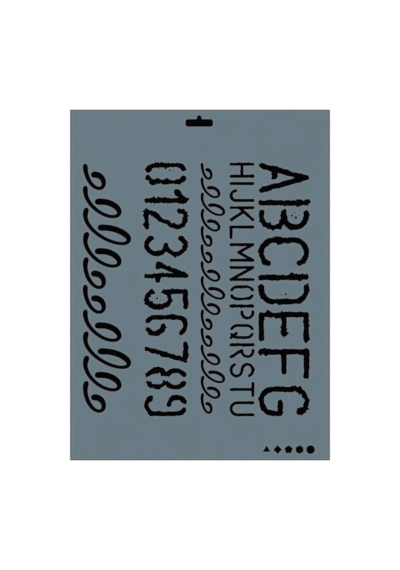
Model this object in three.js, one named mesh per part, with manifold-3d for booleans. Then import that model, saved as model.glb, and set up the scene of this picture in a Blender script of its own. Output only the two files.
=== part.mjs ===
// A lettering stencil: a thin plastic film with characters and pen strokes cut right through it, lying on
// the black backing card that shows in the cuts. Millimetres, +Z up, hang slot towards +Y. The origin is on
// the surface below, under the middle of the film. The lines of cut-outs read down the sheet, towards -Y.

import * as THREE from "three";
import { mergeVertices } from "three/addons/utils/BufferGeometryUtils.js";
import Module from "manifold-3d";

const wasm = await Module();
wasm.setup();

// The two sheets.
const filmThickness = 0.3;
const cardThickness = 0.5;
const cardInset = 1; // the card stays behind the film by this much on every side

// The block of lines, and the bare film around it.
const lineLength = 254;
const topMargin = 53;
const bottomMargin = 44;
const leftMargin = 12;
const rightMargin = 20.5;

// The hang slot: a rounded slot with a small round-topped notch for the hook.
const slotWidth = 27.6;
const slotHeight = 7.5;
const slotCorner = 2.6;
const slotFromTop = 13.2; // from the film's top edge to the middle of the slot
const slotFromLeft = 129.2; // from its left edge
const notchWidth = 4.4; // across the round top
const notchFoot = 5.6; // across the foot, at the slot's upper edge
const notchRise = 3.9; // above the slot's upper edge

// Large worn capitals, the first line.
const capitals = "ABCDEFG";
const capitalHeight = 51;
const capitalStroke = 6;
const capitalBridge = 3.6; // film left between two strokes, to hold the counter
const capitalSpace = 7;
const capitalWear = 0.8; // depth of the deepest nicks along an edge

// Small narrow capitals.
const smallCapitals = "HIJKLMNOPQRSTU";
const smallHeight = 25;
const smallStroke = 3.1;
const smallBridge = 2.6;
const smallSpace = 4.2;
const spaceAboveSmall = 4;

// A fine line of pen loops, in three swells.
const fineHeight = 25;
const fineThin = 1.9;
const fineThick = 3;
const fineBridge = 1.6;
const fineSwells = 3;
const fineLoopsInSwell = 5;
const fineSteps = 18; // points in one loop
const spaceAboveFine = 4;

// Worn figures.
const figures = "0123456789";
const figureHeight = 44;
const figureStroke = 5.2;
const figureBridge = 3.6;
const figureSpace = 5;
const figureWear = 0.7;
const spaceAboveFigures = 12.5;

// Broad brush loops in two swells, the last line.
const brushHeight = 50;
const brushThin = 3.4;
const brushThick = 6.2;
const brushBridge = 2.4;
const brushSwells = 2;
const brushLoopsInSwell = 5;
const brushSteps = 24;
const spaceAboveBrush = 12;

// The hand that drew both: how far its strokes lean, and how small it is at the ends of a swell.
const penLean = 0.28;
const leastRise = 0.36;
const loopCrossing = 48; // degrees up a loop's first stroke where its last one would cross it
const crossingReach = 0.3; // share of a turn, at each end of a loop, where its strokes come close
const crossingSamples = 100;

// A row of plain bullets, upright in the lower right corner: a triangle, a square and so on to a disc.
const bulletSides = [3, 4, 5, 6, 24];
const bulletSize = 8.6;
const bulletGap = 2.4;
const bulletsFromRight = 15; // from the film's right edge to the end of the row
const bulletsFromBottom = 6.4;

// How finely round stretches and worn edges are drawn.
const wearPitch = 3.2;
const arcStep = 2.3;
const endRound = 0.3; // corner radius of a stroke's end, as a share of its width
const cutOverrun = 1; // how far a cutter stands out of both faces of the film

const sheetWidth =
  leftMargin + brushHeight + spaceAboveBrush + figureHeight + spaceAboveFigures + fineHeight +
  spaceAboveFine + smallHeight + spaceAboveSmall + capitalHeight + rightMargin;
const sheetHeight = topMargin + lineLength + bottomMargin;

const radians = THREE.MathUtils.degToRad;

// The centre line of one cut: straight runs and arcs that follow on from each other.
class CentreLine extends THREE.Path {
  // An elliptical arc about (x, y) between two angles in degrees, clockwise where the second is smaller.
  bow(x, y, rx, ry, from, to) {
    return this.absellipse(x, y, rx, ry, radians(from), radians(to), to < from);
  }

  round(x, y, radius, from, to) {
    return this.bow(x, y, radius, radius, from, to);
  }
}

const line = (x1, y1, x2, y2) => new CentreLine().moveTo(x1, y1).lineTo(x2, y2);
const trace = () => new CentreLine();

// The angle on an arc of this radius that takes a stroke the given distance aside from the middle.
const angleAside = (distance, radius) =>
  THREE.MathUtils.radToDeg(Math.asin(Math.min(1, distance / radius)));

// The middles of a character's upper and lower halves, as shares of its height, and the most that a curve
// takes of the width beside a stem.
const upper = 0.75;
const lower = 0.25;
const curveShare = 0.9;

// A bowl half as high as its character, about the given level, with arms that stop short of the stem.
function bowl({ w, h, clear }, level) {
  const ry = h / 4;
  const rx = Math.min(ry, curveShare * (w - clear));
  const x = w - rx;
  const y = level * h;
  return trace().moveTo(clear, y + ry).lineTo(x, y + ry).bow(x, y, rx, ry, 90, -90).lineTo(clear, y - ry);
}

// Each character's cuts, in a box of w by h measured on the centre lines, with r half as wide as the box.
// "clear" is the distance between two centre lines that leaves a bridge of film between their cuts, so that
// no counter can drop out.
const characters = {
  A: ({ w, h, r, clear }) => {
    const level = 0.3;
    const legIn = level * r;
    return [line(0, 0, r, h), line(r, h, w, 0), line(legIn, level * h, w - legIn - clear, level * h)];
  },
  B: (box) => [line(0, 0, 0, box.h), bowl(box, upper), bowl(box, lower)],
  C: ({ h, r }) => [trace().round(r, h - r, r, 25, 180).round(r, r, r, 180, 335)],
  D: ({ w, h, r, clear }) => {
    const rx = Math.min(r, curveShare * (w - clear));
    const x = w - rx;
    const back = trace().moveTo(clear, h).lineTo(x, h).bow(x, h - r, rx, r, 90, 0).bow(x, r, rx, r, 0, -90);
    return [line(0, 0, 0, h), back.lineTo(clear, 0)];
  },
  E: ({ w, h }) => [line(0, 0, 0, h), line(0, h, w, h), line(0, h / 2, 0.8 * w, h / 2), line(0, 0, w, 0)],
  F: ({ w, h }) => [line(0, 0, 0, h), line(0, h, w, h), line(0, h / 2, 0.8 * w, h / 2)],
  G: ({ w, h, r }) => {
    const level = 0.42 * h;
    return [
      trace().round(r, h - r, r, 25, 180).round(r, r, r, 180, 360).lineTo(w, level),
      line(0.55 * w, level, w, level),
    ];
  },
  H: ({ w, h }) => [line(0, 0, 0, h), line(w, 0, w, h), line(0, h / 2, w, h / 2)],
  I: ({ h, r }) => [line(r, 0, r, h)],
  J: ({ w, h, r }) => [trace().round(r, r, r, 180, 360).lineTo(w, h)],
  K: ({ w, h }) => {
    const armFoot = 0.38;
    const fork = 0.32;
    const forkLevel = armFoot + fork * (1 - armFoot);
    return [line(0, 0, 0, h), line(0, armFoot * h, w, h), line(fork * w, forkLevel * h, w, 0)];
  },
  L: ({ w, h }) => [line(0, 0, 0, h), line(0, 0, w, 0)],
  M: ({ w, h, r }) => {
    const dip = 0.35 * h;
    return [line(0, 0, 0, h), line(0, h, r, dip), line(r, dip, w, h), line(w, 0, w, h)];
  },
  N: ({ w, h }) => [line(0, 0, 0, h), line(0, h, w, 0), line(w, 0, w, h)],
  O: ({ h, r, clear }) => {
    const open = angleAside(clear / 2, r);
    return [
      trace().round(r, h - r, r, 90 + open, 180).round(r, r, r, 180, 270 - open),
      trace().round(r, r, r, 270 + open, 360).round(r, h - r, r, 0, 90 - open),
    ];
  },
  P: (box) => [line(0, 0, 0, box.h), bowl(box, upper)],
  Q: (box) => [...characters.O(box), line(0.66 * box.w, 0.24 * box.h, box.w, 0)],
  R: (box) => [...characters.P(box), line(0.45 * box.w, box.h / 2, box.w, 0)],
  S: ({ h, r }) => [trace().bow(r, upper * h, r, h / 4, 20, 270).bow(r, lower * h, r, h / 4, 90, -160)],
  T: ({ w, h, r }) => [line(0, h, w, h), line(r, 0, r, h)],
  U: ({ w, h, r }) => [trace().moveTo(0, h).lineTo(0, r).round(r, r, r, 180, 360).lineTo(w, h)],
  0: (box) => characters.O(box),
  1: ({ w, h }) => [line(w, 0, w, h), line(0, 0.76 * h, w, h)],
  2: ({ w, h, r }) => [trace().round(r, h - r, r, 165, -30).lineTo(0, 0), line(0, 0, w, 0)],
  3: ({ h, r }) => [
    trace().bow(r, upper * h, r, h / 4, 150, -90),
    trace().bow(r, lower * h, r, h / 4, 90, -150),
  ],
  4: ({ w, h, clear }) => {
    const stem = 0.72 * w;
    const level = 0.3 * h;
    return [
      line(stem, h, 0, level), line(0, level, stem - clear, level), line(stem, 0, stem, h),
      line(stem, level, w, level),
    ];
  },
  5: ({ w, h, r }) => {
    const stem = 0.07 * w;
    const bowlHalf = 0.3 * h;
    return [
      line(stem, h, w, h), line(stem, 0.45 * h, stem, h),
      trace().bow(r, bowlHalf, r, bowlHalf, 150, -150),
    ];
  },
  6: ({ h, r, clear }) => {
    const open = angleAside(clear / 2, r);
    const bowlTop = 90 + angleAside(r - clear, r);
    return [
      trace().round(r, h - r, r, 30, 180).round(r, r, r, 180, 270 - open),
      trace().round(r, r, r, open - 90, bowlTop),
    ];
  },
  7: ({ w, h }) => [line(0, h, w, h), line(w, h, 0.3 * w, 0)],
  8: ({ h, r, clear }) => {
    const open = angleAside(clear / 2, r);
    return [upper, lower].flatMap((level) => [
      trace().bow(r, level * h, r, h / 4, 90 + open, 270 - open),
      trace().bow(r, level * h, r, h / 4, open - 90, 90 - open),
    ]);
  },
  9: ({ h, r, clear }) => {
    const open = angleAside(clear / 2, r);
    const bowlFoot = 270 + angleAside(r - clear, r);
    return [
      trace().round(r, r, r, 210, 360).round(r, h - r, r, 0, 90 - open),
      trace().round(r, h - r, r, 90 + open, bowlFoot),
    ];
  },
};

// Width of a character's box beside that of an ordinary one.
const relativeWidth = { I: 0, 1: 0.5, J: 0.8, L: 0.85, M: 1.3 };

// A repeatable number from 0 to 1 for each step along a worn edge, from counters that tell the steps apart.
const grain = (...counters) =>
  THREE.MathUtils.seededRandom(counters.reduce((seed, counter) => 101 * seed + counter, 0));

// Points along a centre line: close steps round the arcs, and the ends of straight runs or, where they are
// worn, even steps along them.
function pointsAlong(path, worn) {
  return path.curves.flatMap((curve, index) => {
    const straightStep = worn ? wearPitch : Infinity;
    const step = curve.isLineCurve ? straightStep : arcStep;
    const count = Math.max(1, Math.round(curve.getLength() / step));
    return curve.getSpacedPoints(count).slice(index ? 1 : 0);
  });
}

// The closed outline of a cut along these points. halfWidth gives its half width at a point, from the index,
// the side (1 is left) and the direction there. Both ends reach half a width further and have eased corners.
function cutOutline(points, halfWidth) {
  const last = points.length - 1;
  const direction = points.map((_, i) =>
    points[Math.min(i + 1, last)].clone().sub(points[Math.max(i - 1, 0)]).normalize());
  const beside = (i, side) => {
    const across = new THREE.Vector2(-direction[i].y, direction[i].x).multiplyScalar(side);
    return points[i].clone().addScaledVector(across, halfWidth(i, side, direction[i]));
  };
  const end = (i, outwards) => {
    const half = halfWidth(i, 0, direction[i]);
    const short = half - 2 * half * endRound;
    const ahead = direction[i].clone().multiplyScalar(outwards);
    const left = new THREE.Vector2(-ahead.y, ahead.x);
    const corners = [[short, half], [half, short], [half, -short], [short, -half]];
    return corners.map(([along, aside]) =>
      points[i].clone().addScaledVector(ahead, along).addScaledVector(left, aside));
  };
  const inner = points.map((_, i) => i).slice(1, -1);
  return [
    ...end(0, -1),
    ...inner.map((i) => beside(i, 1)),
    ...end(last, 1),
    ...inner.reverse().map((i) => beside(i, -1)),
  ];
}

// The cuts of one line of characters: they read along +X from the origin, stand on it and fill the line's
// length. Worn ones have nicks and burrs along their edges, most of them shallow.
function characterLine({ text, height, stroke, bridge, space, wear }) {
  const relative = [...text].map((character) => relativeWidth[character] ?? 1);
  const share = relative.reduce((sum, width) => sum + width, 0);
  const unit = (lineLength - space * (text.length - 1) - stroke * text.length) / share;
  let start = stroke / 2;
  return [...text].flatMap((character, place) => {
    const w = unit * relative[place];
    const strokes = characters[character]({ w, h: height - stroke, r: w / 2, clear: bridge + stroke });
    const corner = new THREE.Vector2(start, stroke / 2);
    start += w + stroke + space;
    return strokes.map((path, strokeIndex) => {
      const points = pointsAlong(path, wear > 0).map((point) => point.add(corner));
      const nick = (i, side) => wear * (2 * grain(text.charCodeAt(place), strokeIndex, i, side) - 1) ** 3;
      return cutOutline(points, (i, side) => stroke / 2 + (side ? nick(i, side) : 0));
    });
  });
}

// One row of pen loops along +X that lean, swell and shrink, thin going up and thick coming down. Each loop
// is broken where its last stroke would cross its first, so that the film inside it holds.
function penLine({ swells, inSwell, height, thin, thick, bridge, steps }) {
  const loops = swells * inSwell;
  const pitch = (lineLength - thick) / loops;
  const crossing = loopCrossing / 180;
  const swing = (pitch * (1 - crossing)) / (2 * Math.sin(crossing * Math.PI));
  const clear = bridge + (thin + thick) / 2;
  const at = (turns) => {
    const loop = Math.min(Math.floor(turns), loops - 1);
    const angle = 2 * Math.PI * (turns - loop);
    const swell = Math.sin((Math.PI * (loop + 0.5)) / inSwell) ** 2;
    const rise = (height - thick) * (leastRise + (1 - leastRise) * swell);
    const y = (rise / 2) * (1 - Math.cos(angle));
    const x = pitch * turns + swing * Math.sin(angle) + penLean * y;
    return new THREE.Vector2(x, y).addScalar(thick / 2);
  };
  const spaced = (from, to, count) =>
    Array.from({ length: count + 1 }, (_, i) => from + ((to - from) * i) / count);
  const breaks = Array.from({ length: loops }, (_, loop) => {
    const upstroke = spaced(loop, loop + crossingReach, crossingSamples).map(at);
    const crowded = spaced(loop + 1 - crossingReach, loop + 1, crossingSamples).filter((turns) =>
      upstroke.some((point) => point.distanceTo(at(turns)) < clear));
    return { from: crowded.at(0), to: crowded.at(-1) };
  });
  const halfWidth = (i, side, direction) => (thin + (thick - thin) * (0.5 - 0.5 * direction.y)) / 2;
  return breaks.map(({ from }, loop) => {
    const start = loop ? breaks[loop - 1].to : 0;
    const count = Math.round((from - start) * steps);
    return cutOutline(spaced(start, from, count).map(at), halfWidth);
  });
}

// The row of bullets, with its right end and lower edge at the origin.
function bulletRow() {
  const half = bulletSize / 2;
  return bulletSides.map((count, place) => {
    const fromEnd = bulletSides.length - 1 - place;
    const middle = new THREE.Vector2(-half - fromEnd * (bulletSize + bulletGap), half);
    return Array.from({ length: count }, (_, i) => {
      const angle = radians(90 + (360 * i) / count);
      return new THREE.Vector2(Math.cos(angle), Math.sin(angle)).multiplyScalar(half).add(middle);
    });
  });
}

function hangSlot() {
  const x = slotWidth / 2 - slotCorner;
  const y = slotHeight / 2 - slotCorner;
  const notch = notchWidth / 2;
  return new THREE.Shape()
    .absarc(x, -y, slotCorner, radians(-90), 0)
    .absarc(x, y, slotCorner, 0, radians(90))
    .lineTo(notchFoot / 2, slotHeight / 2)
    .absarc(0, slotHeight / 2 + notchRise - notch, notch, 0, Math.PI)
    .lineTo(-notchFoot / 2, slotHeight / 2)
    .absarc(-x, y, slotCorner, radians(90), Math.PI)
    .absarc(-x, -y, slotCorner, Math.PI, radians(270));
}

function rectangle(width, height) {
  return new THREE.Shape()
    .moveTo(-width / 2, -height / 2)
    .lineTo(width / 2, -height / 2)
    .lineTo(width / 2, height / 2)
    .lineTo(-width / 2, height / 2);
}

// A closed three.js geometry as a solid that can be cut, and back.
function toSolid(geometry) {
  geometry.deleteAttribute("normal");
  geometry.deleteAttribute("uv");
  const merged = mergeVertices(geometry);
  return new wasm.Manifold(new wasm.Mesh({
    numProp: 3,
    vertProperties: merged.attributes.position.array,
    triVerts: new Uint32Array(merged.index.array),
  }));
}

function toGeometry(solid) {
  const { vertProperties, triVerts } = solid.getMesh();
  const geometry = new THREE.BufferGeometry()
    .setAttribute("position", new THREE.BufferAttribute(vertProperties, 3))
    .setIndex(new THREE.BufferAttribute(triVerts, 1))
    .toNonIndexed();
  geometry.computeVertexNormals();
  return geometry;
}

// The tools that cut a set of outlines through the film, turned and moved to their place on the sheet.
function cutters(shapes, turn, x, y) {
  const depth = filmThickness + 2 * cutOverrun;
  return shapes.map((shape) => toSolid(
    new THREE.ExtrudeGeometry(shape, { depth, bevelEnabled: false, curveSegments: 6 })
      .rotateZ(radians(turn))
      .translate(x, y, -cutOverrun)));
}

function filmGeometry() {
  const lines = [
    [brushHeight + spaceAboveBrush, penLine({
      swells: brushSwells, inSwell: brushLoopsInSwell, height: brushHeight,
      thin: brushThin, thick: brushThick, bridge: brushBridge, steps: brushSteps,
    })],
    [figureHeight + spaceAboveFigures, characterLine({
      text: figures, height: figureHeight, stroke: figureStroke,
      bridge: figureBridge, space: figureSpace, wear: figureWear,
    })],
    [fineHeight + spaceAboveFine, penLine({
      swells: fineSwells, inSwell: fineLoopsInSwell, height: fineHeight,
      thin: fineThin, thick: fineThick, bridge: fineBridge, steps: fineSteps,
    })],
    [smallHeight + spaceAboveSmall, characterLine({
      text: smallCapitals, height: smallHeight, stroke: smallStroke,
      bridge: smallBridge, space: smallSpace, wear: 0,
    })],
    [capitalHeight, characterLine({
      text: capitals, height: capitalHeight, stroke: capitalStroke,
      bridge: capitalBridge, space: capitalSpace, wear: capitalWear,
    })],
  ];
  const tools = [
    ...cutters([hangSlot()], 0, slotFromLeft - sheetWidth / 2, sheetHeight / 2 - slotFromTop),
    ...cutters(bulletRow().map((outline) => new THREE.Shape(outline)), 0,
      sheetWidth / 2 - bulletsFromRight, bulletsFromBottom - sheetHeight / 2),
  ];
  let baseline = leftMargin - sheetWidth / 2;
  for (const [advance, outlines] of lines) {
    const shapes = outlines.map((outline) => new THREE.Shape(outline));
    tools.push(...cutters(shapes, -90, baseline, sheetHeight / 2 - topMargin));
    baseline += advance;
  }
  const blank = toSolid(new THREE.ExtrudeGeometry(rectangle(sheetWidth, sheetHeight), {
    depth: filmThickness, bevelEnabled: false,
  }));
  return toGeometry(tools.reduce((film, tool) => film.subtract(tool), blank));
}

function cardGeometry() {
  return new THREE.ExtrudeGeometry(rectangle(sheetWidth - 2 * cardInset, sheetHeight - 2 * cardInset), {
    depth: cardThickness, bevelEnabled: false,
  });
}

const frostedFilm = new THREE.MeshStandardMaterial({ color: 0x697a84, roughness: 0.5, metalness: 0 });
const blackBoard = new THREE.MeshStandardMaterial({ color: 0x050507, roughness: 0.9, metalness: 0 });

const backingCard = new THREE.Mesh(cardGeometry(), blackBoard);
backingCard.name = "backing_card";

const stencilFilm = new THREE.Mesh(filmGeometry(), frostedFilm);
stencilFilm.name = "stencil_film";
stencilFilm.position.z = cardThickness;

const stencil = new THREE.Group();
stencil.name = "stencil";
stencil.add(backingCard, stencilFilm);

export default stencil;
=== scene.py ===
from itertools import accumulate
from math import degrees, radians

import bmesh
import bpy
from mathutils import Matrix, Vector, noise
from mathutils.geometry import delaunay_2d_cdt
from mathutils.kdtree import KDTree


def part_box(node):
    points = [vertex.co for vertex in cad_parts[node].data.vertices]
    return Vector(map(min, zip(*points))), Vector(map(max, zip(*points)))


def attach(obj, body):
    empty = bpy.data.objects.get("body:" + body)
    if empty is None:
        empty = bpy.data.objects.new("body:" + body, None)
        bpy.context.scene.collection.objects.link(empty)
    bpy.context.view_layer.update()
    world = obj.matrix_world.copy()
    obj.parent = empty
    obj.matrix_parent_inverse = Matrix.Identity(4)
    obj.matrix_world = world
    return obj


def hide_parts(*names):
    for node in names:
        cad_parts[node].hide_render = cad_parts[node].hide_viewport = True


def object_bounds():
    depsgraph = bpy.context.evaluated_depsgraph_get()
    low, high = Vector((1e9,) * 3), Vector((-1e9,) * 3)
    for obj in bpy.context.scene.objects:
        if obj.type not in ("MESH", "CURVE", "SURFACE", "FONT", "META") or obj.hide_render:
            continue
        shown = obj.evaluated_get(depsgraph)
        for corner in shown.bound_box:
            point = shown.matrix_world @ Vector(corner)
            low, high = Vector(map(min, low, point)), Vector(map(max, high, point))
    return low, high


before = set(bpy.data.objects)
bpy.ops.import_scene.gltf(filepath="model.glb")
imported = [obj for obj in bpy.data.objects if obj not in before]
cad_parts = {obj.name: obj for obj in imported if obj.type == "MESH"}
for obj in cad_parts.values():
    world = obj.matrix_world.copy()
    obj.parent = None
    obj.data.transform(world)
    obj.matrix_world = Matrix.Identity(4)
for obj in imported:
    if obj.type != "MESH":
        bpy.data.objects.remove(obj)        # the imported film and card, the fixed frame that everything here sits on
cadLow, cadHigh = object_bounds()
print("frame loaded:", sorted(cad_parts))

mm = 0.001
scene = bpy.context.scene
scene.view_settings.view_transform = "Standard"


# sRGB hex to the linear values that the sockets take
def linear(hexColour):
    channels = [int(hexColour[i:i + 2], 16) / 255 for i in (1, 3, 5)]
    return [c / 12.92 if c <= 0.04045 else ((c + 0.055) / 1.055) ** 2.4 for c in channels] + [1]


# adds a node: settings are its own properties, inputs are values or sockets to link from
def addNode(tree, kind, inputs=None, **settings):
    node = tree.nodes.new(kind)
    for name, value in settings.items():
        setattr(node, name, value)
    for name, value in (inputs or {}).items():
        if isinstance(value, bpy.types.NodeSocket):
            tree.links.new(value, node.inputs[name])
        else:
            node.inputs[name].default_value = value
    return node


def newMaterial(name):
    material = bpy.data.materials.new(name)
    material.use_nodes = True
    material.node_tree.nodes.clear()
    return material, material.node_tree


# leaves one object selected and active, in edit mode
def openMesh(piece):
    bpy.ops.object.select_all(action="DESELECT")
    piece.select_set(True)
    bpy.context.view_layer.objects.active = piece
    bpy.ops.object.mode_set(mode="EDIT")


# selects the "VERT", "EDGE" or "FACE" elements that pass the test, and nothing else
def pick(piece, kind, test):
    bpy.ops.mesh.select_mode(type=kind)
    bpy.ops.mesh.select_all(action="DESELECT")
    mesh = bmesh.from_edit_mesh(piece.data)
    for element in {"VERT": mesh.verts, "EDGE": mesh.edges, "FACE": mesh.faces}[kind]:
        if test(element):
            element.select_set(True)
    bmesh.update_edit_mesh(piece.data)


# Camera: straight above the sheet, as in the photograph
cameraSettings = {
    "distance": 3.0,         # m above the film's face
    "seenHeight": 0.5707,    # m of the page from the top of the picture to the bottom
    "sensor": 36,            # mm, along the picture's long side
}


def addCamera(settings):
    bpy.ops.object.camera_add(location=(0, 0, cadHigh.z + settings["distance"]), rotation=(0, 0, 0))
    camera = bpy.context.object
    camera.data.sensor_width = settings["sensor"]
    camera.data.lens = settings["sensor"] * settings["distance"] / settings["seenHeight"]
    scene.camera = camera
    print("camera set, lens", round(camera.data.lens, 1), "mm")


addCamera(cameraSettings)


# Film: the outlines of the cuts are taken from the frame, drawn finer, worn and filled again
filmSettings = {
    "merge": 0.001,             # mm, points nearer than this are one
    "borderline": 1,            # mm, what lies nearer to the sheet's sides is its border
    "linesAlong": (-140, 135),  # mm along the sheet, where the lines of cut-outs lie
    "lines": {                  # mm across it
        "all": (-125, 125),
        "brush loops": (-125, -62),
        "figures": (-57.5, -10.5),
        "pen loops": (-5, 28),
        "small capitals": (28, 57),
        "large capitals": (57, 111),
    },
    "step": 0.5,                # mm between points along a cut
    "coarseSteps": {            # the same on the lines that are rounded twice
        "brush loops": 1.6, "figures": 0.9, "pen loops": 1.0, "large capitals": 0.9,
    },
    "finer": 3,                 # parts that a coarse step is divided into in between
    "cornerTurn": 52,           # degrees, an outline that turns more keeps its corner
    "roundings": 16,            # passes that turn the frame's facets into curves
    "cornerRoundings": 4,       # passes that ease the corners as well
    "roundIn": 0.5,             # how far a pass draws each point towards its neighbours
    "roundOut": -0.53,          # and back out, a little further, so that the strokes' ends don't shrink
    "bolder": {                 # mm that the strokes of a line gain on each side
        "figures": -0.15, "pen loops": 0.22, "small capitals": -0.05, "large capitals": -0.25,
    },
    "wear": {                   # how much a line has of the wear below
        "figures": 1.0, "small capitals": 0.3, "large capitals": 0.85,
    },
    "patterns": {               # of the wear: length in mm, and a shift that sets each apart from the others
        "fret": (1.2, (0, 0, 0)),     # fine bumps
        "lump": (2.5, (31, 7, 0)),    # coarser ones, broken out or left standing
        "swell": (8, (11, 43, 0)),    # stretches where a whole stroke has grown or shrunk
        "nick": (1.1, (5, 29, 0)),    # thin nicks that run into the film
        "patch": (30, (3, 17, 0)),    # rough and sound stretches
    },
    "fretDepth": 0.5,           # mm for each unit of the noise, as are the next four depths
    "brokenFrom": 0.16,         # past this level of the lumps the film has broken out
    "brokenDepth": 3.6,
    "leftFrom": -0.3,           # and under this one a burr of it was left standing
    "leftDepth": 2.4,
    "swellDepth": 1.4,
    "nickFrom": 0.36,           # only the noise's peaks are nicks
    "nickDepth": 6,
    "meanWear": 0.65,           # share of all this on the whole
    "patchGain": 1.6,           # and what a unit of the patches adds to it
    "wearRange": (0.25, 1.25),  # the least and the most of it
    "dulled": 0.5,              # how far the sharpest points of the wear are taken back
    "roomReach": 5,             # mm, how far other edges are looked for
    "roomFold": 0.85,           # an edge this much nearer than the way round to it counts as another
    "roomShare": 0.3,           # of the distance to another edge, the most that an edge is moved
    "flecks": [                 # x, y and radius in mm of specks that broke out beside worn strokes
        (95.8, 67.2, 1.3), (92.0, 69.3, 0.95), (98.9, 70.2, 0.6), (95.1, 72.1, 0.6),
        (85.6, -9.2, 1.0), (81.6, -10.2, 0.6),
        (-30.4, 114.6, 0.9), (-26.6, 113.8, 0.55),
        (-43.0, -13.6, 1.0), (-39.8, -15.2, 0.6),
    ],
    "fleckSides": 13,
    "fleckRag": 0.8,            # of the radius for each unit of the noise
    "easedWidth": 0.18,         # mm, the eased upper edge of every cut
    "easedDepth": 0.06,         # mm
}


# whether a point is on the line of cut-outs that goes by this name
def inLine(vert, settings, name):
    low, high = settings["linesAlong"]
    left, right = settings["lines"][name]
    return low * mm < vert.co.y < high * mm and left * mm < vert.co.x < right * mm


# what a setting holds for the line that a point is on
def lineValue(vert, settings, key, otherwise):
    found = (value for name, value in settings[key].items() if inLine(vert, settings, name))
    return next(found, otherwise)


# the outlines of the film's upper face as wires, in short steps, while the border keeps its four corners
def filmWires(settings):
    low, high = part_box("stencil_film")
    film = bpy.data.objects.new("stencil_sheet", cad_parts["stencil_film"].data.copy())
    scene.collection.objects.link(film)
    film.data.materials.clear()
    openMesh(film)
    bpy.ops.mesh.select_all(action="SELECT")
    bpy.ops.mesh.remove_doubles(threshold=settings["merge"] * mm)
    pick(film, "FACE", lambda face: any(vert.co.z < (low.z + high.z) / 2 for vert in face.verts))
    bpy.ops.mesh.delete(type="FACE")
    bpy.ops.mesh.select_all(action="SELECT")
    bpy.ops.mesh.region_to_loop()
    bpy.ops.mesh.select_all(action="INVERT")
    bpy.ops.mesh.delete(type="EDGE")

    def parts(wire):
        if any(abs(vert.co.x) > cadHigh.x - settings["borderline"] * mm for vert in wire.verts):
            return 1
        step = lineValue(wire.verts[0], settings, "coarseSteps", settings["step"])
        return max(1, round(wire.calc_length() / (step * mm)))

    for count in sorted({parts(wire) for wire in bmesh.from_edit_mesh(film.data).edges} - {1}):
        pick(film, "EDGE", lambda wire: parts(wire) == count)
        bpy.ops.mesh.subdivide(number_cuts=count - 1)
    return film


# the lines of cut-outs become round, while the hang slot and the bullets stay as they were punched
def roundCuts(film, settings):
    def turning(vert):
        one, other = (wire.other_vert(vert).co - vert.co for wire in vert.link_edges)
        return 180 - degrees(one.angle(other))

    def smooth(passes):
        for _ in range(passes):
            bpy.ops.mesh.vertices_smooth(factor=settings["roundIn"])
            bpy.ops.mesh.vertices_smooth(factor=settings["roundOut"])

    def roundOff(names):
        def picked(vert):
            return any(inLine(vert, settings, name) for name in names)

        pick(film, "VERT", lambda vert: picked(vert) and turning(vert) < settings["cornerTurn"])
        smooth(settings["roundings"])
        pick(film, "VERT", picked)
        smooth(settings["cornerRoundings"])

    roundOff(settings["coarseSteps"])
    for name in settings["coarseSteps"]:
        pick(film, "EDGE", lambda wire: inLine(wire.verts[0], settings, name))
        bpy.ops.mesh.subdivide(number_cuts=settings["finer"] - 1)
    roundOff(["all"])


# the points of one closed wire, in the order that has its outside on the right hand
def walkRound(start):
    walk = [start]
    wire = start.link_edges[0]
    vert = wire.other_vert(start)
    while vert != start:
        walk.append(vert)
        wire = next(other for other in vert.link_edges if other != wire)
        vert = wire.other_vert(vert)
    area = sum(one.co.cross(other.co).z for one, other in zip(walk, walk[1:] + walk[:1]))
    return walk if area > 0 else walk[::-1]


# the closed wires that have a point which passes the test
def closedWires(film, test):
    walks, seen = [], set()
    for vert in bmesh.from_edit_mesh(film.data).verts:
        if test(vert) and vert not in seen:
            walks.append(walkRound(vert))
            seen.update(walks[-1])
    return walks


# how far wear has moved an edge into the film at a point, in mm
def wearAt(point, settings):
    level = {}
    for name, (length, shift) in settings["patterns"].items():
        level[name] = noise.noise(point / (length * mm) + Vector(shift))
    fret = level["fret"] * settings["fretDepth"]
    broken = max(0, level["lump"] - settings["brokenFrom"]) * settings["brokenDepth"]
    left = max(0, settings["leftFrom"] - level["lump"]) * settings["leftDepth"]
    swell = level["swell"] * settings["swellDepth"]
    nick = max(0, level["nick"] - settings["nickFrom"]) * settings["nickDepth"]
    least, most = settings["wearRange"]
    share = min(most, max(least, settings["meanWear"] + settings["patchGain"] * level["patch"]))
    return (fret + broken - left + swell + nick) * share


# gives the lines their weight and, along the worn ones, bumps, broken spots, burrs and nicks
def wearCuts(film, settings):
    def isMoved(vert):
        return any(lineValue(vert, settings, key, 0) for key in ("bolder", "wear"))

    # for each point its outline, its number and its way along that, and the whole way round
    places = []
    for walk in closedWires(film, isMoved):
        ways = list(accumulate((walk[step].co - walk[step - 1].co).length for step in range(len(walk))))
        places += [(walk, step, way, ways[-1]) for step, way in enumerate(ways)]
    near = KDTree(len(places))
    for index, (walk, step, *_) in enumerate(places):
        near.insert(walk[step].co, index)
    near.balance()

    # the distance to another edge, or to this one where it has folded back
    def roomAt(walk, step, way, whole):
        room = settings["roomReach"] * mm
        for _, index, distance in near.find_range(walk[step].co, room):
            otherWalk, _, otherWay, _ = places[index]
            between = abs(way - otherWay)
            if otherWalk is not walk or distance < settings["roomFold"] * min(between, whole - between):
                room = min(room, distance)
        return room

    moves = []
    for walk, step, way, whole in places:
        vert = walk[step]
        along = walk[(step + 1) % len(walk)].co - walk[step - 1].co
        intoFilm = Vector((along.y, -along.x, 0)).normalized()
        most = settings["roomShare"] * roomAt(walk, step, way, whole)
        worn = lineValue(vert, settings, "wear", 0) * wearAt(vert.co, settings)
        move = (lineValue(vert, settings, "bolder", 0) + worn) * mm
        moves.append(min(most, max(-most, move)) * intoFilm)
    for (walk, step, *_), move in zip(places, moves):
        walk[step].co += move
    pick(film, "VERT", isMoved)
    bpy.ops.mesh.vertices_smooth(factor=settings["dulled"])


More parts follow.
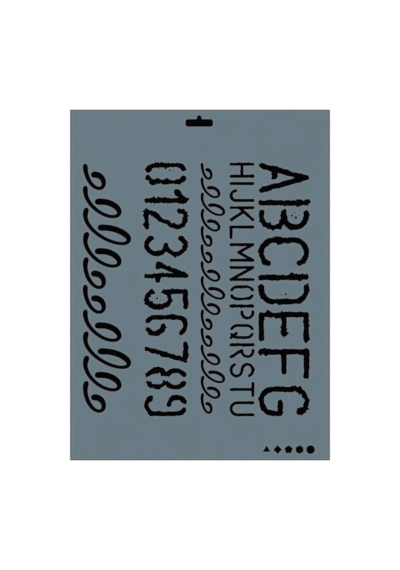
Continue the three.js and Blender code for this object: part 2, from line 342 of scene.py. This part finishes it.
# ragged specks beside the worn strokes
def addFlecks(film, settings):
    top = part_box("stencil_film")[1].z
    for x, y, radius in settings["flecks"]:
        middle = Vector((x * mm, y * mm, top))
        bpy.ops.mesh.primitive_circle_add(
            vertices=settings["fleckSides"], radius=radius * mm, location=middle)
        for vert in bmesh.from_edit_mesh(film.data).verts:
            if vert.select:
                vert.co += settings["fleckRag"] * noise.noise(vert.co / (radius * mm)) * (vert.co - middle)
    bmesh.update_edit_mesh(film.data)


# triangles between the wires, because mesh.fill slips where points lie almost level
def fillWires(film, settings):
    withinOutlines = 1    # the kind of filling that leaves out what no wire goes round
    outlines = closedWires(film, lambda vert: True)
    mesh = bmesh.from_edit_mesh(film.data)
    mesh.verts.index_update()
    verts = list(mesh.verts)
    points, _, triangles, origins, _, owners = delaunay_2d_cdt(
        [vert.co.xy for vert in verts], [], [[vert.index for vert in outline] for outline in outlines],
        withinOutlines, settings["merge"] * mm)
    height = verts[0].co.z
    corners = [verts[origin[0]] if origin else mesh.verts.new((*point, height))    # new where wires cross
               for point, origin in zip(points, origins)]
    for triangle, within in zip(triangles, owners):
        if len(within) == 1:    # in the sheet's border alone, so not in a cut
            mesh.faces.new(corners[index] for index in triangle)
    bmesh.update_edit_mesh(film.data)
    bpy.ops.mesh.select_all(action="SELECT")
    bpy.ops.mesh.delete_loose()


# the filled outline is lowered by the eased edge, given the sheet's thickness and eased along every edge
def thickenFilm(film, settings):
    low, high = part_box("stencil_film")
    eased = settings["easedDepth"] * mm
    bpy.ops.mesh.select_all(action="SELECT")
    bpy.ops.transform.translate(value=(0, 0, -eased))
    bpy.ops.mesh.extrude_region_move(TRANSFORM_OT_translate={"value": (0, 0, low.z - high.z + eased)})
    bpy.ops.mesh.select_all(action="SELECT")
    bpy.ops.mesh.normals_make_consistent(inside=False)
    pick(film, "FACE", lambda face: all(vert.co.z > (low.z + high.z) / 2 for vert in face.verts))
    bpy.ops.mesh.inset(thickness=settings["easedWidth"] * mm, depth=eased, use_even_offset=False)
    bpy.ops.object.mode_set(mode="OBJECT")


film = filmWires(filmSettings)
roundCuts(film, filmSettings)
wearCuts(film, filmSettings)
addFlecks(film, filmSettings)
fillWires(film, filmSettings)
thickenFilm(film, filmSettings)
print("film made:", len(film.data.polygons), "faces")


# Card: a board of the frame's size with its edges eased and its corners dulled
cardSettings = {
    "cornerRadius": 0.9,       # mm, corners dulled by handling
    "cornerSteps": 4,
    "easedEdge": 0.12,         # mm
    "easedSteps": 2,
}


def makeCard(settings):
    low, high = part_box("backing_card")
    bpy.ops.object.select_all(action="DESELECT")
    bpy.ops.mesh.primitive_cube_add(size=1, location=(low + high) / 2, scale=high - low)
    card = bpy.context.object
    card.name = "black_board"
    bpy.ops.object.transform_apply(location=True, rotation=True, scale=True)
    openMesh(card)
    pick(card, "EDGE", lambda edge: abs(edge.verts[0].co.z - edge.verts[1].co.z) > (high.z - low.z) / 2)
    bpy.ops.mesh.bevel(offset=settings["cornerRadius"] * mm, segments=settings["cornerSteps"])
    pick(card, "FACE", lambda face: round(face.normal.z) != 0)    # the upper and the lower face
    bpy.ops.mesh.region_to_loop()
    bpy.ops.mesh.bevel(offset=settings["easedEdge"] * mm, segments=settings["easedSteps"])
    bpy.ops.object.mode_set(mode="OBJECT")
    print("card made:", len(card.data.polygons), "faces")
    return card


card = makeCard(cardSettings)


# the distance in metres to the nearest side of a piece that lies evenly about the middle
def fromSides(tree, place, corner):
    fromMiddle = addNode(tree, "ShaderNodeVectorMath", {0: place}, operation="ABSOLUTE")
    inside = addNode(tree, "ShaderNodeVectorMath", {
        0: tuple(corner), 1: fromMiddle.outputs[0],
    }, operation="SUBTRACT")
    sides = addNode(tree, "ShaderNodeSeparateXYZ", {0: inside.outputs[0]})
    nearest = addNode(tree, "ShaderNodeMath", {
        0: sides.outputs["X"], 1: sides.outputs["Y"],
    }, operation="MINIMUM")
    return nearest.outputs[0]


# long thin scuffs in a few directions, only where the noise peaks
def addScuffs(tree, place, settings):
    scuffed = 0.0
    for turn in settings["turns"]:
        along = addNode(tree, "ShaderNodeMapping", {
            "Vector": place, "Rotation": (0, 0, radians(turn)),
            "Scale": (settings["length"] * mm, settings["width"] * mm, 1),    # even through the thickness
        }, vector_type="TEXTURE")
        scratch = addNode(tree, "ShaderNodeTexNoise", {
            "Vector": along.outputs[0], "Scale": 1.0, "Detail": 1.0,
        })
        peaks = addNode(tree, "ShaderNodeMapRange", {
            "Value": scratch.outputs["Fac"], "From Min": settings["from"], "From Max": settings["full"],
        })
        scuffed = addNode(tree, "ShaderNodeMath", {
            0: peaks.outputs[0], 1: scuffed,
        }, operation="ADD").outputs[0]
    return scuffed


# the colour of a finish: each layer's tint goes over what is there, by the layer's share
def layTints(tree, ground, layers):
    colour = linear(ground)
    for share, tint in layers:
        colour = addNode(tree, "ShaderNodeMix", {
            0: share, 6: colour, 7: linear(tint),
        }, data_type="RGBA").outputs[2]
    return colour


# Frosted polyester film, tinted in the mass and matt on both faces: very even, with a faint cloudiness, a
# fine matt grain and a few shiny scuffs, a painted highlight as a paler grey halo beside every cut, and along
# its sheared border a painted shade as a dark line with a painted highlight as a paler line beside it
filmFinish = {
    "tint": "#6A7E89",
    # noises: size in mm, the levels at which a tint begins and is full, and its share there
    "cloud": {"tint": "#667D85", "size": 28, "from": 0.35, "full": 0.65, "share": 1.0},
    "hue": {"tint": "#6C7B8D", "size": 8, "from": 0.45, "full": 0.7, "share": 0.6},
    # the real frosting is about 0.05 mm and is drawn coarser to show
    "grain": {"tint": "#60747F", "size": 0.7, "from": 0.35, "full": 0.65, "share": 0.5},
    "scuffs": {
        "tint": "#7C8F9A",
        "share": 0.3,
        "length": 26,               # mm
        "width": 0.3,               # mm
        "turns": [24, -52],         # degrees
        "from": 0.66,
        "full": 0.8,
        "shine": 0.14,              # roughness that they have lost
    },
    # painted highlight: a paler grey halo painted beside every cut
    "rubbedAndHighlight": {
        "tint": "#808286",
        "share": 0.9,
        "width": 3.5,               # mm beside a cut
        "samples": 8,
        "fullLean": 0.7,            # cosine of the rounded normal's lean where the rub is full
        "patches": (0.3, 0.7),      # levels of the hue between which it goes from weak to strong
        "patchShares": (0.7, 1.3),
    },
    # painted highlight: a paler line painted just inside the sheet's sides
    "paintedEdgeHighlight": {"tint": "#758289", "width": 2.6},    # mm from the sheet's sides
    # painted shade: a dark line painted along the sheet's sides
    "paintedEdgeShade": {"tint": "#4F5B61", "width": 1.5},
    "fade": 0.5,                    # mm in which each of these two ends
    "roughness": (0.46, 0.62),      # from the lowest to the highest level of the grain
    "relief": 0.25,
    "reliefDepth": 0.02,            # mm
    "ior": 1.57,
    "specular": 0.3,
}


def frostedFilm(settings):
    material, tree = newMaterial("frosted polyester film")
    place = addNode(tree, "ShaderNodeTexCoord").outputs["Object"]
    level, layers = {}, []
    for name in ("cloud", "hue", "grain"):
        pattern = settings[name]
        level[name] = addNode(tree, "ShaderNodeTexNoise", {
            "Vector": place, "Scale": 1 / (pattern["size"] * mm), "Detail": 2.0,
        }).outputs["Fac"]
        share = addNode(tree, "ShaderNodeMapRange", {
            "Value": level[name], "From Min": pattern["from"], "From Max": pattern["full"],
            "To Max": pattern["share"],
        })
        layers.append((share.outputs[0], pattern["tint"]))

    scuffs = settings["scuffs"]
    scuffed = addScuffs(tree, place, scuffs)
    paler = addNode(tree, "ShaderNodeMath", {
        0: scuffed, 1: scuffs["share"],
    }, operation="MULTIPLY", use_clamp=True)
    layers.append((paler.outputs[0], scuffs["tint"]))

    # the rounded normal leans away from the face beside a cut, and tells how near the edge is; there a paler halo is
    # painted in as a painted highlight
    highlightHalo = settings["rubbedAndHighlight"]
    rounded = addNode(tree, "ShaderNodeBevel", {"Radius": highlightHalo["width"] * mm}, samples=highlightHalo["samples"])
    face = addNode(tree, "ShaderNodeNewGeometry").outputs["Normal"]
    facing = addNode(tree, "ShaderNodeVectorMath", {
        0: rounded.outputs[0], 1: face,
    }, operation="DOT_PRODUCT")
    nearCut = addNode(tree, "ShaderNodeMapRange", {
        "Value": facing.outputs["Value"], "From Min": 1.0, "From Max": highlightHalo["fullLean"],
        "To Max": highlightHalo["share"],
    })
    lowest, highest = highlightHalo["patches"]
    weak, strong = highlightHalo["patchShares"]
    patchy = addNode(tree, "ShaderNodeMapRange", {
        "Value": level["hue"], "From Min": lowest, "From Max": highest, "To Min": weak, "To Max": strong,
    })
    rubbedAndHighlight = addNode(tree, "ShaderNodeMath", {
        0: nearCut.outputs[0], 1: patchy.outputs[0],
    }, operation="MULTIPLY", use_clamp=True)
    layers.append((rubbedAndHighlight.outputs[0], highlightHalo["tint"]))

    nearest = fromSides(tree, place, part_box("stencil_film")[1])
    # a painted highlight line and a painted shade line along the sheet's sides
    for name in ("paintedEdgeHighlight", "paintedEdgeShade"):
        width = settings[name]["width"]
        line = addNode(tree, "ShaderNodeMapRange", {
            "Value": nearest, "From Min": width * mm, "From Max": (width - settings["fade"]) * mm,
        })
        layers.append((line.outputs[0], settings[name]["tint"]))

    smoothest, dullest = settings["roughness"]
    matt = addNode(tree, "ShaderNodeMapRange", {
        "Value": level["grain"], "To Min": smoothest, "To Max": dullest,
    })
    roughness = addNode(tree, "ShaderNodeMath", {
        0: scuffed, 1: -scuffs["shine"], 2: matt.outputs[0],
    }, operation="MULTIPLY_ADD", use_clamp=True)
    relief = addNode(tree, "ShaderNodeBump", {
        "Height": level["grain"], "Strength": settings["relief"], "Distance": settings["reliefDepth"] * mm,
    })
    shader = addNode(tree, "ShaderNodeBsdfPrincipled", {
        "Base Color": layTints(tree, settings["tint"], layers), "Roughness": roughness.outputs[0],
        "IOR": settings["ior"], "Specular IOR Level": settings["specular"], "Normal": relief.outputs[0],
    })
    addNode(tree, "ShaderNodeOutputMaterial", {"Surface": shader.outputs[0]})
    return material


# Black uncoated board, dyed through: no gloss but a faint nap, fibres pressed flat, edges rubbed a little
# paler and a few dull scuffs from handling
boardFinish = {
    "tint": "#010102",
    "fibres": {
        "tint": "#060608",
        "length": 4,                # mm
        "width": 0.3,               # mm, real ones are about 0.03 mm and are drawn coarser to show
        "bend": 0.8,
    },
    "rubbedAndHighlight": {"tint": "#2A2A2C", "width": 0.6},    # mm from the card's sides
    "scuffs": {
        "tint": "#1B1B1D",
        "length": 45,               # mm
        "width": 0.9,               # mm
        "turns": [68, 8, -37],      # degrees
        "from": 0.66,
        "full": 0.8,
    },
    "roughness": 0.92,
    "nap": 0.22,
    "napRoughness": 0.35,
    "relief": 0.3,
    "reliefDepth": 0.05,            # mm
}


def blackBoard(settings):
    material, tree = newMaterial("black uncoated board")
    place = addNode(tree, "ShaderNodeTexCoord").outputs["Object"]
    fibre = settings["fibres"]
    along = addNode(tree, "ShaderNodeMapping", {
        "Vector": place, "Scale": [fibre[size] * mm for size in ("width", "length", "width")],
    }, vector_type="TEXTURE")
    fibres = addNode(tree, "ShaderNodeTexNoise", {
        "Vector": along.outputs[0], "Scale": 1.0, "Detail": 3.0, "Distortion": fibre["bend"],
    }).outputs["Fac"]
    atEdge = addNode(tree, "ShaderNodeMapRange", {
        "Value": fromSides(tree, place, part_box("backing_card")[1]),
        "From Min": settings["rubbedAndHighlight"]["width"] * mm, "From Max": 0.0,
    })
    rubbedAndHighlight = addNode(tree, "ShaderNodeMath", {0: atEdge.outputs[0], 1: fibres}, operation="MULTIPLY")
    colour = layTints(tree, settings["tint"], [
        (fibres, fibre["tint"]),
        (rubbedAndHighlight.outputs[0], settings["rubbedAndHighlight"]["tint"]),
        (addScuffs(tree, place, settings["scuffs"]), settings["scuffs"]["tint"]),
    ])
    relief = addNode(tree, "ShaderNodeBump", {
        "Height": fibres, "Strength": settings["relief"], "Distance": settings["reliefDepth"] * mm,
    })
    shader = addNode(tree, "ShaderNodeBsdfPrincipled", {
        "Base Color": colour, "Roughness": settings["roughness"], "Specular IOR Level": 0.0,
        "Sheen Weight": settings["nap"], "Sheen Roughness": settings["napRoughness"],
        "Normal": relief.outputs[0],
    })
    addNode(tree, "ShaderNodeOutputMaterial", {"Surface": shader.outputs[0]})
    return material


film.data.materials.append(frostedFilm(filmFinish))
card.data.materials.append(blackBoard(boardFinish))
print("finishes set")


# Stage: a white page, two soft lamps and an even sky, which looks white where it is seen or mirrored
stageSettings = {
    "floorSize": 12,          # m
    "floorDrop": 0.02,        # mm below the card
    "page": "#E7E7E7",
    "glow": "#FFFFFF",        # of the page and the sky
    "pageGlow": 0.36,
    "farGlow": 0.7,           # where the lamps don't reach
    "lampReach": (0.8, 4),    # m from the middle, where the lamps fade out
    "lampSize": 1.4,          # m
    "lamps": [((-1.5, 0.9, 1.9), 19), ((1.5, -0.9, 1.9), 15)],    # place in m and power in W
    "sky": 0.5,               # as it lights the pieces
    "seenSky": 1.0,
}


# 1 for what the camera sees, straight or by a mirror or glass, and 0 for the light that falls on the pieces
def seenRays(tree):
    path = addNode(tree, "ShaderNodeLightPath").outputs
    seen = path["Is Camera Ray"]
    for kind in ("Is Glossy Ray", "Is Transmission Ray"):
        seen = addNode(tree, "ShaderNodeMath", {0: seen, 1: path[kind]}, operation="ADD").outputs[0]
    return seen


# White uncoated paper without gloss, which glows a little where it is seen, so that it is white all over
def whitePage(settings):
    material, tree = newMaterial("white page")
    place = addNode(tree, "ShaderNodeTexCoord").outputs["Object"]
    fromMiddle = addNode(tree, "ShaderNodeVectorMath", {0: place}, operation="LENGTH")
    near, far = settings["lampReach"]
    glow = addNode(tree, "ShaderNodeMapRange", {
        "Value": fromMiddle.outputs["Value"], "From Min": near, "From Max": far,
        "To Min": settings["pageGlow"], "To Max": settings["farGlow"],
    })
    seenGlow = addNode(tree, "ShaderNodeMath", {
        0: seenRays(tree), 1: glow.outputs[0],
    }, operation="MULTIPLY")
    shader = addNode(tree, "ShaderNodeBsdfPrincipled", {
        "Base Color": linear(settings["page"]), "Roughness": 1.0, "Specular IOR Level": 0.0,
        "Emission Color": linear(settings["glow"]), "Emission Strength": seenGlow.outputs[0],
    })
    addNode(tree, "ShaderNodeOutputMaterial", {"Surface": shader.outputs[0]})
    return material


def addPage(settings):
    bpy.ops.object.select_all(action="DESELECT")
    bpy.ops.mesh.primitive_plane_add(
        size=settings["floorSize"], location=(0, 0, cadLow.z - settings["floorDrop"] * mm))
    floor = bpy.context.object
    floor.name = "page"
    floor.data.materials.append(whitePage(settings))


# each lamp looks at the middle of the sheet
def addLamps(settings):
    for spot, power in settings["lamps"]:
        bpy.ops.object.light_add(type="AREA", location=spot)
        lamp = bpy.context.object
        lamp.data.size = settings["lampSize"]
        lamp.data.energy = power
        lamp.rotation_euler = (-Vector(spot)).to_track_quat("-Z", "Y").to_euler()


def addSky(settings):
    world = bpy.data.worlds.new("even sky")
    world.use_nodes = True
    tree = world.node_tree
    tree.nodes.clear()
    strength = addNode(tree, "ShaderNodeMapRange", {
        "Value": seenRays(tree), "To Min": settings["sky"], "To Max": settings["seenSky"],
    })
    sky = addNode(tree, "ShaderNodeBackground", {
        "Color": linear(settings["glow"]), "Strength": strength.outputs[0],
    })
    addNode(tree, "ShaderNodeOutputWorld", {"Surface": sky.outputs[0]})
    scene.world = world


addPage(stageSettings)
addLamps(stageSettings)
addSky(stageSettings)
print("stage set")

# Which body each piece moves with, and the solid that it stands for
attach(film, "film")
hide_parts("stencil_film")
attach(card, "card")
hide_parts("backing_card")
